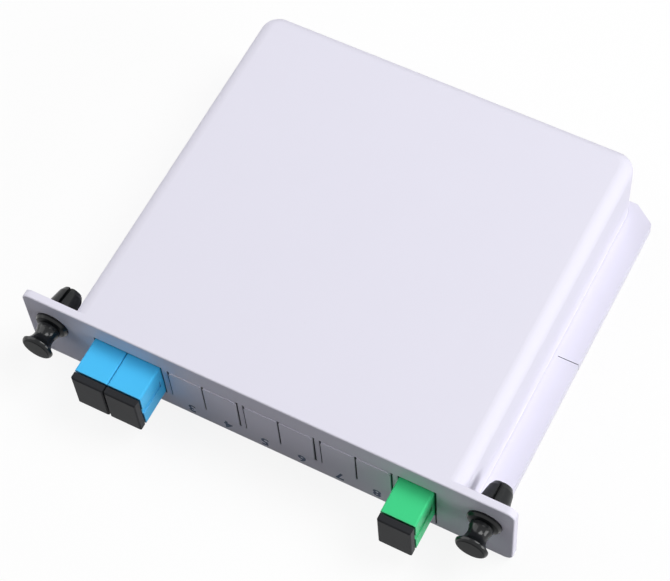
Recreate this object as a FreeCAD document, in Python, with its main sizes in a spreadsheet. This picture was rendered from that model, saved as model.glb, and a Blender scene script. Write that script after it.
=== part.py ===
"""Plug-in cassette that splits one optical fibre into two.

A moulded housing carries the front panel, two output adapters and one input adapter. A bottom cover
closes it and forms the guide rails. Inside, three plugs, their fibres and a splitter module complete the
optical path. Two push-pull latches hold the cassette in its slot.

Row frame: origin at the centre of the cover's underside, X along the panel, Y from the panel to the
rear, Z up. Every piece is drawn in its own frame and set in place by its Placement.
"""
import FreeCAD, Part
import math
import os
import re
import Sketcher

Vector = FreeCAD.Vector

SIZES = [
    ("overrun", 1.0, "how far a cut runs past the faces that it opens"),
    # Front panel and box
    ("panel_width", 130.0, "front panel, along X"),
    ("panel_height", 25.0, "front panel, along Z, and the height of the whole cassette"),
    ("panel_thickness", 2.0, "front panel, along Y"),
    ("panel_corner_radius", 2.3, "corners of the panel's outline"),
    ("panel_edge_radius", 0.4, "rim of the panel's front face"),
    ("box_width", 103.0, "outside of the box, along X"),
    ("box_depth", 98.0, "from the panel's back face to the rear wall"),
    ("box_corner_radius", 5.0, "upright rear corners of the box"),
    ("box_edge_radius", 3.5, "upper edges of the box"),
    ("wall", 1.8, "side and rear walls"),
    ("roof", 1.8, "wall above the cavity"),
    # Bottom cover and rails
    ("cover_thickness", 3.0, "cover plate and rails"),
    ("cover_clearance", 0.15, "gap between the cover and the panel, and around the lip"),
    ("rail_width", 6.6, "how far a rail stands out from the box"),
    ("rail_chamfer_width", 5.6, "rear corner of a rail, along X"),
    ("rail_chamfer_length", 4.0, "rear corner of a rail, along Y"),
    ("rail_corner_radius", 1.2, "rounding at both ends of that corner"),
    ("rail_slit_distance", 49.9, "from the panel's back face to the relief slit"),
    ("rail_slit_width", 0.2, "relief slit across a rail"),
    ("rail_slit_inset", 1.1, "from the box wall to the inner end of the slit"),
    ("recess_depth", 1.0, "pocket in the cover's upper face"),
    ("recess_inset", 7.5, "from the box's outside to the pocket"),
    ("lip_height", 1.5, "locating lip that stands inside the box walls"),
    ("lip_thickness", 1.2, "locating lip"),
    ("lip_side_length", 54.0, "lip along a side wall"),
    ("lip_rear_length", 76.0, "lip along the rear wall"),
    # Cover screws
    ("boss_diameter", 4.6, "screw bosses in the housing"),
    ("boss_inset", 4.0, "from the box's outside to a boss axis"),
    ("front_boss_distance", 22.0, "from the panel's back face to the front bosses"),
    ("screw_diameter", 2.2, "screw shank"),
    ("screw_clearance", 0.05, "radial gap around the shank in its boss"),
    ("cover_hole_clearance", 0.1, "radial gap around the shank in the cover"),
    ("screw_reach", 8.0, "shank above the cover"),
    ("screw_head_diameter", 4.0, "countersunk head"),
    ("screw_recess_width", 0.7, "cross recess"),
    ("screw_recess_length", 2.2, "cross recess"),
    ("screw_recess_depth", 0.8, "cross recess"),
    # Adapter windows and numbered blanks
    ("first_pair_inset", 15.2, "from the box's side to the centre of the output adapters"),
    ("input_inset", 11.05, "from the box's side to the input adapter's axis"),
    ("pair_pitch", 20.35, "from one pair of positions to the next"),
    ("window_clearance", 0.35, "around an adapter in its window"),
    ("input_slit_floor", 1.5, "underside to the foot of the slit beside the input adapter"),
    ("slit_width", 0.45, "slits beside a blank"),
    ("slit_height", 11.7, "slits beside a blank"),
    ("slit_end_diameter", 0.75, "round ends of the slits beside a blank"),
    ("blank_half_pitch", 9.3, "from the centre slit of a pair to its outer slits"),
    ("blank_relief", 0.25, "how far a blank stands proud of the panel"),
    ("blank_corner", 0.8, "cut upper corner of a blank"),
    # Adapters
    ("channel_height", 12.4, "height of the optical axes above the underside"),
    ("adapter_gap", 0.05, "between the two output adapters"),
    ("adapter_width", 8.95, "outside of an adapter, along X"),
    ("adapter_tall", 12.7, "outside of an adapter, along Z"),
    ("adapter_length", 27.4, "from mouth to mouth"),
    ("adapter_projection", 9.4, "from the panel's front face to the mouth"),
    ("adapter_edge_radius", 0.5, "long edges of an adapter"),
    ("adapter_side_wall", 0.65, "walls across X"),
    ("adapter_end_wall", 0.85, "walls across Z"),
    ("mouth_tall", 9.2, "height of the mouth between its lips"),
    ("mouth_lip", 1.0, "length of the lips at each mouth"),
    ("collar_step", 1.0, "stop collar above and below an adapter"),
    ("collar_length", 1.5, "stop collar, along Y"),
    ("key_groove_width", 2.4, "groove along the outer side of an adapter"),
    ("key_groove_length", 8.2, "groove along the outer side of an adapter"),
    ("key_groove_depth", 0.35, "groove along the outer side of an adapter"),
    ("adapter_rib_thickness", 1.5, "ribs that hold the stop collars"),
    # Sleeve holder and sleeve
    ("holder_clearance", 0.05, "around the holder's plate"),
    ("holder_plate", 1.6, "plate of the sleeve holder"),
    ("holder_tube_diameter", 4.7, "tube of the sleeve holder"),
    ("holder_tube_reach", 6.2, "from the mid-plane to an end of the tube"),
    ("holder_lip", 0.4, "inward lips that keep the sleeve"),
    ("arm_gap", 0.3, "between a latch arm and the adapter's wall"),
    ("arm_thickness", 0.6, "latch arm"),
    ("arm_width", 3.0, "latch arm"),
    ("arm_reach", 8.5, "from the mid-plane to the end of an arm"),
    ("hook_drop", 0.35, "how far a hook stands in from its arm"),
    ("hook_length", 1.2, "hook along the arm"),
    ("sleeve_diameter", 3.2, "split sleeve"),
    ("sleeve_length", 11.4, "split sleeve"),
    ("sleeve_slit", 0.5, "slit of the sleeve"),
    ("sleeve_clearance", 0.075, "radial gap between sleeve and holder"),
    # Dust caps
    ("cap_side_inset", 0.175, "outer block of a cap, inside the adapter's sides"),
    ("cap_end_inset", 0.15, "outer block of a cap, inside the adapter's top and bottom"),
    ("cap_length", 1.9, "outer block of a cap"),
    ("cap_chamfer", 0.3, "front rim of a cap"),
    ("cap_gap", 0.4, "between a cap and the mouth"),
    ("cap_plug_side_gap", 0.275, "between a cap's plug and the sides of the mouth"),
    ("cap_plug_end_gap", 0.5, "between a cap's plug and the lips of the mouth"),
    ("cap_plug_length", 7.0, "part of a cap inside the mouth"),
    ("cap_bore_gap", 0.3, "radial gap around the holder's tube"),
    # Plugs
    ("shell_side_gap", 0.175, "between the outer housing and the adapter's sides"),
    ("shell_end_gap", 0.15, "between the outer housing and the lips of the mouth"),
    ("shell_side_wall", 0.5, "outer housing of a plug"),
    ("shell_end_wall", 0.55, "outer housing of a plug"),
    ("shell_start", 3.0, "from the mid-plane to the front of the outer housing"),
    ("shell_length", 21.5, "outer housing of a plug"),
    ("shell_clearance", 0.1, "between the outer housing and the frame"),
    ("window_length", 1.8, "latch window of the outer housing"),
    ("frame_start", 1.2, "from the mid-plane to the front of the frame"),
    ("frame_length", 16.8, "inner body of a plug"),
    ("frame_wall_start", 6.6, "from the mid-plane to the wall around the ferrule"),
    ("frame_wall", 1.8, "wall around the ferrule"),
    ("frame_front_bore", 5.3, "space for the holder's tube"),
    ("frame_rear_bore", 4.4, "chamber for flange and spring"),
    ("ferrule_diameter", 2.499, "ceramic ferrule"),
    ("ferrule_running_gap", 0.01, "radial gap between ferrule and sleeve"),
    ("ferrule_wall_gap", 0.15, "radial gap between ferrule and frame wall"),
    ("ferrule_tip_gap", 0.02, "between the tip and the mid-plane"),
    ("flange_clearance", 0.2, "radial gap between the ferrule's flange and its chamber"),
    ("flange_length", 2.2, "flange of the ferrule"),
    ("flange_gap", 0.1, "between the flange and the frame's wall"),
    ("stem_diameter", 2.0, "stem behind the flange"),
    ("stem_length", 4.0, "stem behind the flange"),
    ("fibre_clearance", 0.05, "radial gap around the buffered fibre in its bores"),
    ("stem_clearance", 0.05, "radial gap around the ferrule's stem in the collar"),
    ("spring_wire", 0.45, "wire of the ferrule spring"),
    ("spring_diameter", 3.2, "mean diameter of the ferrule spring"),
    ("spring_length", 4.6, "ferrule spring, end to end"),
    ("spring_turns", 4.0, "turns of the ferrule spring"),
    ("spring_gap", 0.05, "between the spring and its seats"),
    ("collar_fit", 0.02, "radial gap of the plug collar in the frame"),
    ("collar_body_diameter", 5.6, "plug collar behind the frame"),
    ("collar_body_length", 4.0, "plug collar behind the frame"),
    ("collar_stem_diameter", 3.4, "stem that the boot grips"),
    ("collar_stem_length", 4.0, "stem that the boot grips"),
    ("boot_diameter", 5.2, "front of the boot"),
    ("boot_tip_diameter", 2.6, "rear of the boot"),
    ("boot_length", 20.0, "boot from front to rear"),
    ("boot_grip", 5.0, "straight front part of the boot"),
    ("boot_fit", 0.05, "radial gap between boot and stem"),
    # Fibres and splitter module
    ("fibre_diameter", 0.9, "buffered fibre"),
    ("fibre_start", 10.0, "from the mid-plane to the fibre's end in its ferrule"),
    ("coil_side_gap", 3.25, "from the side wall to the outermost fibre's line"),
    ("coil_rear_gap", 1.8, "from the rear wall to the outermost fibre's line"),
    ("coil_lane", 1.3, "from one fibre's line to the next"),
    ("coil_depth", 44.9, "from the front to the rear of the outermost coil"),
    ("coil_step", 1.6, "rise of an output fibre from one turn to the next"),
    ("input_coil_step", 1.7, "drop of the input fibre from one turn to the next"),
    ("input_coil_depth", 44.8, "from the front to the rear of the input's coil"),
    ("entry_radius", 22.0, "bend from a plug into the coil"),
    ("slope_radius", 30.0, "bend at the foot and the head of a slope"),
    ("slope_inset", 5.0, "from the end of a straight run to the end of its slope"),
    ("slope_gap", 5.0, "from the bend behind a plug to the foot of the first slope"),
    ("turn_gap", 3.0, "from the module's boot to the centre of the last bend"),
    ("module_length", 40.0, "steel body of the splitter"),
    ("module_width", 7.0, "steel body of the splitter"),
    ("module_tall", 4.0, "steel body of the splitter"),
    ("module_edge_radius", 0.5, "long edges of the steel body"),
    ("module_rear_gap", 10.7, "from the rear wall to the module's axis"),
    ("module_boot_length", 5.0, "boot at each end of the module"),
    ("module_boot_width", 5.4, "boot at each end of the module"),
    ("module_boot_tall", 3.0, "boot at each end of the module"),
    ("module_entry", 1.5, "from the boot's face to the end of a fibre"),
    ("pad_thickness", 1.0, "foam tape between module and roof"),
    ("pad_length", 30.0, "foam tape between module and roof"),
    ("pad_inset", 0.5, "foam tape inside the module's sides"),
    ("cradle_rib", 1.2, "ribs beside the module"),
    ("cradle_length", 24.0, "ribs beside the module"),
    ("cradle_drop", 4.0, "ribs beside the module"),
    ("cradle_clearance", 0.2, "between the ribs and the module"),
    # Fibre hubs
    ("hub_x", 20.0, "from the middle to a hub's axis"),
    ("hub_rear_distance", 27.5, "from the outside of the rear wall to a hub's axis"),
    ("hub_diameter", 16.0, "outside of a hub"),
    ("hub_wall", 1.5, "wall of a hub"),
    ("tab_gap", 0.35, "between the tabs and the lowest fibre"),
    ("tab_thickness", 1.2, "tabs that keep the fibres on the hubs"),
    ("tab_width", 6.0, "tabs that keep the fibres on the hubs"),
    ("tab_length", 16.0, "tabs that keep the fibres on the hubs"),
    # Latches
    ("latch_offset", 6.25, "from the box's side to a latch axis"),
    ("latch_height", 15.7, "height of the latch axes above the underside"),
    ("grommet_fit", 0.05, "radial gap between grommet and panel"),
    ("grommet_flange_diameter", 8.8, "flange of a grommet"),
    ("grommet_rim", 0.5, "straight rim of the flange"),
    ("grommet_crown_diameter", 7.8, "where the flange's dome turns flatter"),
    ("grommet_crown", 1.05, "from the panel's front face to that turn"),
    ("grommet_front_diameter", 6.0, "front of the flange's dome"),
    ("grommet_front", 1.4, "from the panel's front face to the dome's front"),
    ("grommet_neck_diameter", 6.0, "neck in the panel and the slot behind it"),
    ("grommet_neck_length", 1.7, "neck behind the panel"),
    ("grommet_bulge_diameter", 7.8, "widest part of the prongs"),
    ("grommet_bulge_start", 2.4, "from the panel's back face to the widest part"),
    ("grommet_shoulder_diameter", 6.2, "where the prongs round in"),
    ("grommet_shoulder", 6.4, "from the panel's back face to that shoulder"),
    ("grommet_tip_diameter", 4.9, "end of the prongs"),
    ("grommet_reach", 7.6, "from the panel's back face to the end of the prongs"),
    ("prong_slit", 0.8, "slits between the prongs"),
    ("pin_diameter", 3.0, "pin of a plunger"),
    ("pin_running_gap", 0.05, "radial gap around the pin"),
    ("pin_tip_reach", 0.7, "from the prongs' end to the pin's tip"),
    ("pin_tip_radius", 1.0, "rounding of the pin's tip"),
    ("knob_diameter", 8.2, "knob of a plunger"),
    ("knob_base_diameter", 5.9, "foot of the knob on the grommet"),
    ("knob_reach", 7.8, "from the panel's front face to the knob's face"),
    ("knob_edge_radius", 0.9, "rim of the knob's face"),
    ("knob_gap", 0.1, "between the knob and the grommet"),
    ("waist_distance", 4.0, "from the panel's front face to the waist"),
    ("waist_diameter", 5.0, "narrowest part of the knob"),
    ("waist_radius", 3.2, "hollow of the waist"),
]

doc = FreeCAD.newDocument("splitter_cassette")
sizes = doc.addObject("Spreadsheet::Sheet", "sizes")
for row, (alias, value, note) in enumerate(SIZES, start=1):
    sizes.set(f"A{row}", note)
    sizes.set(f"B{row}", str(value))
    sizes.setAlias(f"B{row}", alias)
doc.recompute()

ALIASES = re.compile(r"\b(" + "|".join(alias for alias, _, _ in SIZES) + r")\b")
AXES = "xyz"
nodes = []


# ---------------------------------------------------------------- expressions and placement

def bound(expression):
    """Return the expression with each size's name pointing at its cell."""
    return ALIASES.sub(r"sizes.\1", str(expression))


def number(expression):
    """Return the present value of an expression."""
    result = sizes.evalExpression(bound(expression))
    return float(getattr(result, "Value", result))


def bind(item, prop, expression):
    """Tie a property to an expression of the sizes."""
    item.setExpression(prop, bound(expression))


def move(item, place, prop="Placement"):
    """Tie the three coordinates of a placement to expressions."""
    for axis, expression in zip(AXES, place):
        bind(item, f"{prop}.Base.{axis}", expression)


def node(item, label, place=("0", "0", "0")):
    """Name a finished piece, set it in its place and keep it for export."""
    item.Label = label
    move(item, place)
    nodes.append(item)
    return item


# ---------------------------------------------------------------- PartDesign

# Plane, axis along which it is offset, and whether its normal points along that axis.
PLANES = {"XY": ("XY_Plane", True), "XZ": ("XZ_Plane", False), "YZ": ("YZ_Plane", True)}


def new_body(name):
    """Start a body."""
    return doc.addObject("PartDesign::Body", name)


def new_sketch(body, name, plane, offset="0"):
    """Attach a sketch to one of the body's own planes, moved along the plane's row axis."""
    role, along = PLANES[plane]
    sketch = body.newObject("Sketcher::SketchObject", name)
    support = next(item for item in body.Origin.OriginFeatures if item.Role == role)
    sketch.AttachmentSupport = (support, "")
    sketch.MapMode = "FlatFace"
    bind(sketch, "AttachmentOffset.Base.z", offset if along else f"-({offset})")
    return sketch


def fix_point(sketch, geometry, position, point):
    """Tie one point of a sketch to two expressions."""
    for kind, expression in zip(("DistanceX", "DistanceY"), point):
        constraint = Sketcher.Constraint(kind, -1, 1, geometry, position, number(expression))
        index = sketch.addConstraint(constraint)
        bind(sketch, f"Constraints[{index}]", expression)


def add_polygon(sketch, points):
    """Draw a closed outline whose corners are tied to expressions."""
    corners = [Vector(number(x), number(y), 0) for x, y in points]
    first = sketch.GeometryCount
    count = len(points)
    for index in range(count):
        sketch.addGeometry(Part.LineSegment(corners[index], corners[(index + 1) % count]), False)
    for index, point in enumerate(points):
        following = first + (index + 1) % count
        sketch.addConstraint(Sketcher.Constraint("Coincident", first + index, 2, following, 1))
        fix_point(sketch, first + index, 1, point)


def add_circle(sketch, centre, diameter):
    """Draw a circle whose centre and diameter are tied to expressions."""
    middle = Vector(number(centre[0]), number(centre[1]), 0)
    index = sketch.addGeometry(Part.Circle(middle, Vector(0, 0, 1), number(diameter) / 2), False)
    fix_point(sketch, index, 3, centre)
    constraint = sketch.addConstraint(Sketcher.Constraint("Diameter", index, number(diameter)))
    bind(sketch, f"Constraints[{constraint}]", diameter)


def rectangle(low_x, high_x, low_y, high_y):
    """Return the corners of a rectangle."""
    return [(low_x, low_y), (high_x, low_y), (high_x, high_y), (low_x, high_y)]


def centred(width, tall):
    """Return the corners of a rectangle about the origin."""
    return rectangle(f"-({width}) / 2", f"({width}) / 2", f"-({tall}) / 2", f"({tall}) / 2")


def prism(body, name, plane, outlines, low, high, cut=False):
    """Pad or pocket outlines from low to high along the plane's row axis.

    An outline is a list of corners, or a centre with a diameter.
    """
    sketch = new_sketch(body, f"{name}_sketch", plane, low)
    for outline in outlines:
        if isinstance(outline, list):
            add_polygon(sketch, outline)
        else:
            add_circle(sketch, *outline)
    feature = body.newObject("PartDesign::Pocket" if cut else "PartDesign::Pad", name)
    feature.Profile = sketch
    bind(feature, "Length", f"({high}) - ({low})")
    feature.Reversed = PLANES[plane][1] == cut
    doc.recompute()
    return feature


def turn(body, name, outlines, cut=False):
    """Revolve outlines of radius and distance about the body's Y axis."""
    sketch = new_sketch(body, f"{name}_sketch", "XY")
    for outline in outlines:
        if isinstance(outline, list):
            add_polygon(sketch, outline)
        else:
            add_circle(sketch, *outline)
    feature = body.newObject("PartDesign::Groove" if cut else "PartDesign::Revolution", name)
    feature.Profile = sketch
    feature.ReferenceAxis = (sketch, ["V_Axis"])
    feature.Angle = 360
    doc.recompute()
    return feature


def edges_where(feature, wanted):
    """Return the names of the edges that satisfy a test."""
    edges = feature.Shape.Edges
    return [f"Edge{index}" for index, edge in enumerate(edges, start=1) if wanted(edge)]


def along(edge, direction):
    """Tell whether a straight edge runs along a direction."""
    if not isinstance(edge.Curve, Part.Line):
        return False
    return abs(edge.Curve.Direction.dot(direction)) > 0.999


def round_edges(body, name, wanted, radius):
    """Round the edges of the body's last feature that satisfy a test."""
    base = body.Tip
    fillet = body.newObject("PartDesign::Fillet", name)
    fillet.Base = (base, edges_where(base, wanted))
    bind(fillet, "Radius", radius)
    doc.recompute()
    return fillet


def bevel_edges(body, name, wanted, size):
    """Chamfer the edges of the body's last feature that satisfy a test."""
    base = body.Tip
    chamfer = body.newObject("PartDesign::Chamfer", name)
    chamfer.Base = (base, edges_where(base, wanted))
    bind(chamfer, "Size", size)
    doc.recompute()
    return chamfer


def repeat_along_x(body, name, features, spacing, count):
    """Repeat features along X, with their spacing and number tied to expressions."""
    pattern = body.newObject("PartDesign::LinearPattern", name)
    pattern.Originals = features
    axis = next(item for item in body.Origin.OriginFeatures if item.Role == "X_Axis")
    pattern.Direction = (axis, [""])
    pattern.Mode = "Spacing"
    bind(pattern, "Offset", spacing)
    bind(pattern, "Occurrences", count)
    body.Tip = pattern
    doc.recompute()
    return pattern


# ---------------------------------------------------------------- Part primitives

def block(name, x_span, y_span, z_span):
    """Make a box between two expressions along each axis."""
    item = doc.addObject("Part::Box", name)
    for prop, span in zip(("Length", "Width", "Height"), (x_span, y_span, z_span)):
        bind(item, prop, f"({span[1]}) - ({span[0]})")
    move(item, (x_span[0], y_span[0], z_span[0]))
    return item


def across(width):
    """Return a span about zero."""
    return (f"-({width}) / 2", f"({width}) / 2")


def rod(name, y_span, diameter, x="0", z="0"):
    """Make a cylinder along Y."""
    item = doc.addObject("Part::Cylinder", name)
    item.Placement = FreeCAD.Placement(Vector(), FreeCAD.Rotation(Vector(1, 0, 0), -90))
    bind(item, "Radius", f"({diameter}) / 2")
    bind(item, "Height", f"({y_span[1]}) - ({y_span[0]})")
    move(item, (x, y_span[0], z))
    return item


def taper(name, y_span, diameters):
    """Make a cone along Y."""
    item = doc.addObject("Part::Cone", name)
    item.Placement = FreeCAD.Placement(Vector(), FreeCAD.Rotation(Vector(1, 0, 0), -90))
    bind(item, "Radius1", f"({diameters[0]}) / 2")
    bind(item, "Radius2", f"({diameters[1]}) / 2")
    bind(item, "Height", f"({y_span[1]}) - ({y_span[0]})")
    move(item, ("0", y_span[0], "0"))
    return item


def joined(name, items):
    """Fuse pieces into one solid."""
    item = doc.addObject("Part::MultiFuse", name)
    item.Shapes = items
    item.Refine = True
    return item


def hollowed(name, base, tools):
    """Cut tools out of a piece."""
    item = doc.addObject("Part::Cut", name)
    item.Base = base
    item.Tool = tools[0] if len(tools) == 1 else joined(f"{name}_tools", tools)
    return item


# ---------------------------------------------------------------- housing and cover

PANEL_BACK = "-box_depth / 2"
HALF_BOX = "box_width / 2"
HALF_CAVITY = "(box_width / 2 - wall)"
CAVITY_TOP = "(panel_height - roof)"
BOSS_X = "(box_width / 2 - boss_inset)"
REAR_BOSS = "(box_depth - boss_inset)"
BOSSES = [(f"{side} * {BOSS_X}", distance) for side in (-1, 1)
          for distance in ("front_boss_distance", REAR_BOSS)]
LATCH_X = "(box_width / 2 + latch_offset)"
OUTPUT_PITCH = "(adapter_width + adapter_gap)"
OUTPUTS_X = "(first_pair_inset - box_width / 2)"
INPUT_X = "(box_width / 2 - input_inset)"
PAIR_HALF = f"({OUTPUT_PITCH} / 2 + adapter_width / 2 + window_clearance)"
SINGLE_HALF = "(adapter_width / 2 + window_clearance)"
COLLAR_REAR = "(collar_length + window_clearance)"
HUB_DISTANCE = "(box_depth - hub_rear_distance)"
HUB_FLOOR = ("(channel_height - 2 * input_coil_step - fibre_diameter / 2 - tab_gap"
             " - tab_thickness)")
MODULE_Y = "(box_depth - wall - module_rear_gap)"
MODULE_Z = "(panel_height - roof - pad_thickness - module_tall / 2)"


def near(value, expression):
    """Tell whether a coordinate equals an expression."""
    return abs(value - number(expression)) < 0.001


def panel_and_box(body):
    """Pad the front panel and the box behind it, with their rounded edges."""
    prism(body, "panel", "XZ",
          [rectangle("-panel_width / 2", "panel_width / 2", "0", "panel_height")],
          "-panel_thickness", "0")
    round_edges(body, "panel_corners", lambda edge: along(edge, Vector(0, 1, 0)),
                "panel_corner_radius")
    round_edges(body, "panel_rim", lambda edge: near(edge.BoundBox.YMax, "-panel_thickness"),
                "panel_edge_radius")
    prism(body, "box", "XY", [rectangle(f"-{HALF_BOX}", HALF_BOX, "-panel_thickness / 2", "box_depth")],
          "cover_thickness", "panel_height")
    round_edges(body, "box_corners",
                lambda edge: along(edge, Vector(0, 0, 1)) and near(edge.CenterOfMass.y, "box_depth"),
                "box_corner_radius")
    round_edges(body, "box_edges",
                lambda edge: near(edge.BoundBox.ZMin, "panel_height") and edge.BoundBox.YMax > 1,
                "box_edge_radius")


def cavity(body):
    """Hollow the box from below and round the rear corners of the cavity."""
    prism(body, "cavity", "XY",
          [rectangle(f"-{HALF_CAVITY}", HALF_CAVITY, "0", "box_depth - wall")],
          "cover_thickness", CAVITY_TOP, cut=True)
    round_edges(body, "cavity_corners",
                lambda edge: (along(edge, Vector(0, 0, 1))
                              and near(edge.CenterOfMass.y, "box_depth - wall")
                              and near(abs(edge.CenterOfMass.x), HALF_CAVITY)),
                "box_corner_radius - wall")


def windows(body):
    """Cut the adapter windows, the input window's slit and the latch holes through the panel."""
    low = "channel_height - adapter_tall / 2 - window_clearance / 2"
    high = "channel_height + adapter_tall / 2 + window_clearance / 2"
    pair = rectangle(f"{OUTPUTS_X} - {PAIR_HALF}", f"{OUTPUTS_X} + {PAIR_HALF}", low, high)
    single = rectangle(f"{INPUT_X} - {SINGLE_HALF}", f"{INPUT_X} + {SINGLE_HALF}", low, high)
    prism(body, "adapter_windows", "XZ", [pair, single], "-panel_thickness - overrun", "overrun",
          cut=True)
    edge = f"{INPUT_X} + {SINGLE_HALF}"
    prism(body, "input_slit", "XZ",
          [rectangle(f"{edge} - slit_width / 2", f"{edge} + slit_width / 2", "input_slit_floor", high)],
          "-panel_thickness - overrun", "overrun", cut=True)
    holes = [((f"{side} * {LATCH_X}", "latch_height"), "grommet_neck_diameter + 2 * grommet_fit")
             for side in (-1, 1)]
    prism(body, "latch_holes", "XZ", holes, "-panel_thickness - overrun", "overrun", cut=True)


def blanks(body):
    """Raise the numbered blanks, pair by pair, and part them by slits through the panel.

    As many pairs stand in the row as fit between the output and the input adapters.
    """
    centre = f"{OUTPUTS_X} + pair_pitch"
    room = f"({INPUT_X} - {SINGLE_HALF} - {OUTPUTS_X} - {PAIR_HALF})"
    low = "channel_height - slit_height / 2"
    high = "channel_height + slit_height / 2"
    inner = "slit_width / 2"
    outer = "(blank_half_pitch - slit_width / 2)"
    outlines = []
    slits = []
    ends = []
    for side in (-1, 1):
        outlines.append([
            (f"{centre} + {side} * {inner}", low),
            (f"{centre} + {side} * {outer}", low),
            (f"{centre} + {side} * {outer}", f"{high} - blank_corner"),
            (f"{centre} + {side} * ({outer} - blank_corner)", high),
            (f"{centre} + {side} * {inner}", high),
        ])
    for step in (-1, 0, 1):
        middle = f"{centre} + {step} * blank_half_pitch"
        slits.append(rectangle(f"{middle} - slit_width / 2", f"{middle} + slit_width / 2", low, high))
        ends += [((middle, height), "slit_end_diameter") for height in (low, high)]
    raised = prism(body, "blank_pair", "XZ", outlines, "-panel_thickness - blank_relief",
                   "-panel_thickness / 2")
    parted = prism(body, "blank_slits", "XZ", slits, "-panel_thickness - overrun", "overrun", cut=True)
    drilled = prism(body, "slit_ends", "XZ", ends, "-panel_thickness - overrun", "overrun", cut=True)
    repeat_along_x(body, "blank_pairs", [raised, parted, drilled], "pair_pitch",
                   f"floor({room} / pair_pitch)")


def inner_ribs(body):
    """Add the screw bosses, the adapter rib, the module's cradle and the fibre hubs."""
    prism(body, "bosses", "XY", [(place, "boss_diameter") for place in BOSSES],
          "cover_thickness", f"{CAVITY_TOP} + roof / 2")
    prism(body, "adapter_rib", "XY",
          [rectangle(f"-{HALF_CAVITY} - wall / 4", f"{HALF_CAVITY} + wall / 4", COLLAR_REAR,
                     f"{COLLAR_REAR} + adapter_rib_thickness")],
          "channel_height + adapter_tall / 2 + window_clearance", f"{CAVITY_TOP} + roof / 4")
    near_face = "(module_width / 2 + cradle_clearance)"
    ribs = [rectangle("-cradle_length / 2", "cradle_length / 2",
                      f"{MODULE_Y} + {near_face}", f"{MODULE_Y} + {near_face} + cradle_rib"),
            rectangle("-cradle_length / 2", "cradle_length / 2",
                      f"{MODULE_Y} - {near_face} - cradle_rib", f"{MODULE_Y} - {near_face}")]
    prism(body, "cradle", "XY", ribs, f"{CAVITY_TOP} - cradle_drop", f"{CAVITY_TOP} + roof / 2")
    hubs = []
    tabs = []
    reach = "(hub_diameter / 2 - hub_wall / 2)"
    for side in (-1, 1):
        hubs.append(((f"{side} * hub_x", HUB_DISTANCE), "hub_diameter"))
        hubs.append(((f"{side} * hub_x", HUB_DISTANCE), "hub_diameter - 2 * hub_wall"))
        tabs.append(rectangle(f"{side} * (hub_x + {reach})",
                              f"{side} * (hub_x + {reach} + tab_length)",
                              f"{HUB_DISTANCE} - tab_width / 2", f"{HUB_DISTANCE} + tab_width / 2"))
        for turned in (-1, 1):
            tabs.append(rectangle(f"{side} * hub_x - tab_width / 2", f"{side} * hub_x + tab_width / 2",
                                  f"{HUB_DISTANCE} + {turned} * {reach}",
                                  f"{HUB_DISTANCE} + {turned} * ({reach} + tab_length)"))
    prism(body, "hubs", "XY", hubs, HUB_FLOOR, f"{CAVITY_TOP} + roof / 2")
    prism(body, "hub_tabs", "XY", tabs, HUB_FLOOR, f"{HUB_FLOOR} + tab_thickness")


def screw_holes(body):
    """Bore the bosses for the screws."""
    prism(body, "pilot_holes", "XY",
          [(place, "screw_diameter + 2 * screw_clearance") for place in BOSSES],
          "cover_thickness - overrun", "cover_thickness + screw_reach + overrun", cut=True)


def housing():
    """Mould the panel, the box and its ribs as one piece."""
    body = new_body("housing")
    panel_and_box(body)
    cavity(body)
    blanks(body)
    windows(body)
    inner_ribs(body)
    screw_holes(body)
    return node(body, "housing", ("0", PANEL_BACK, "0"))


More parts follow.
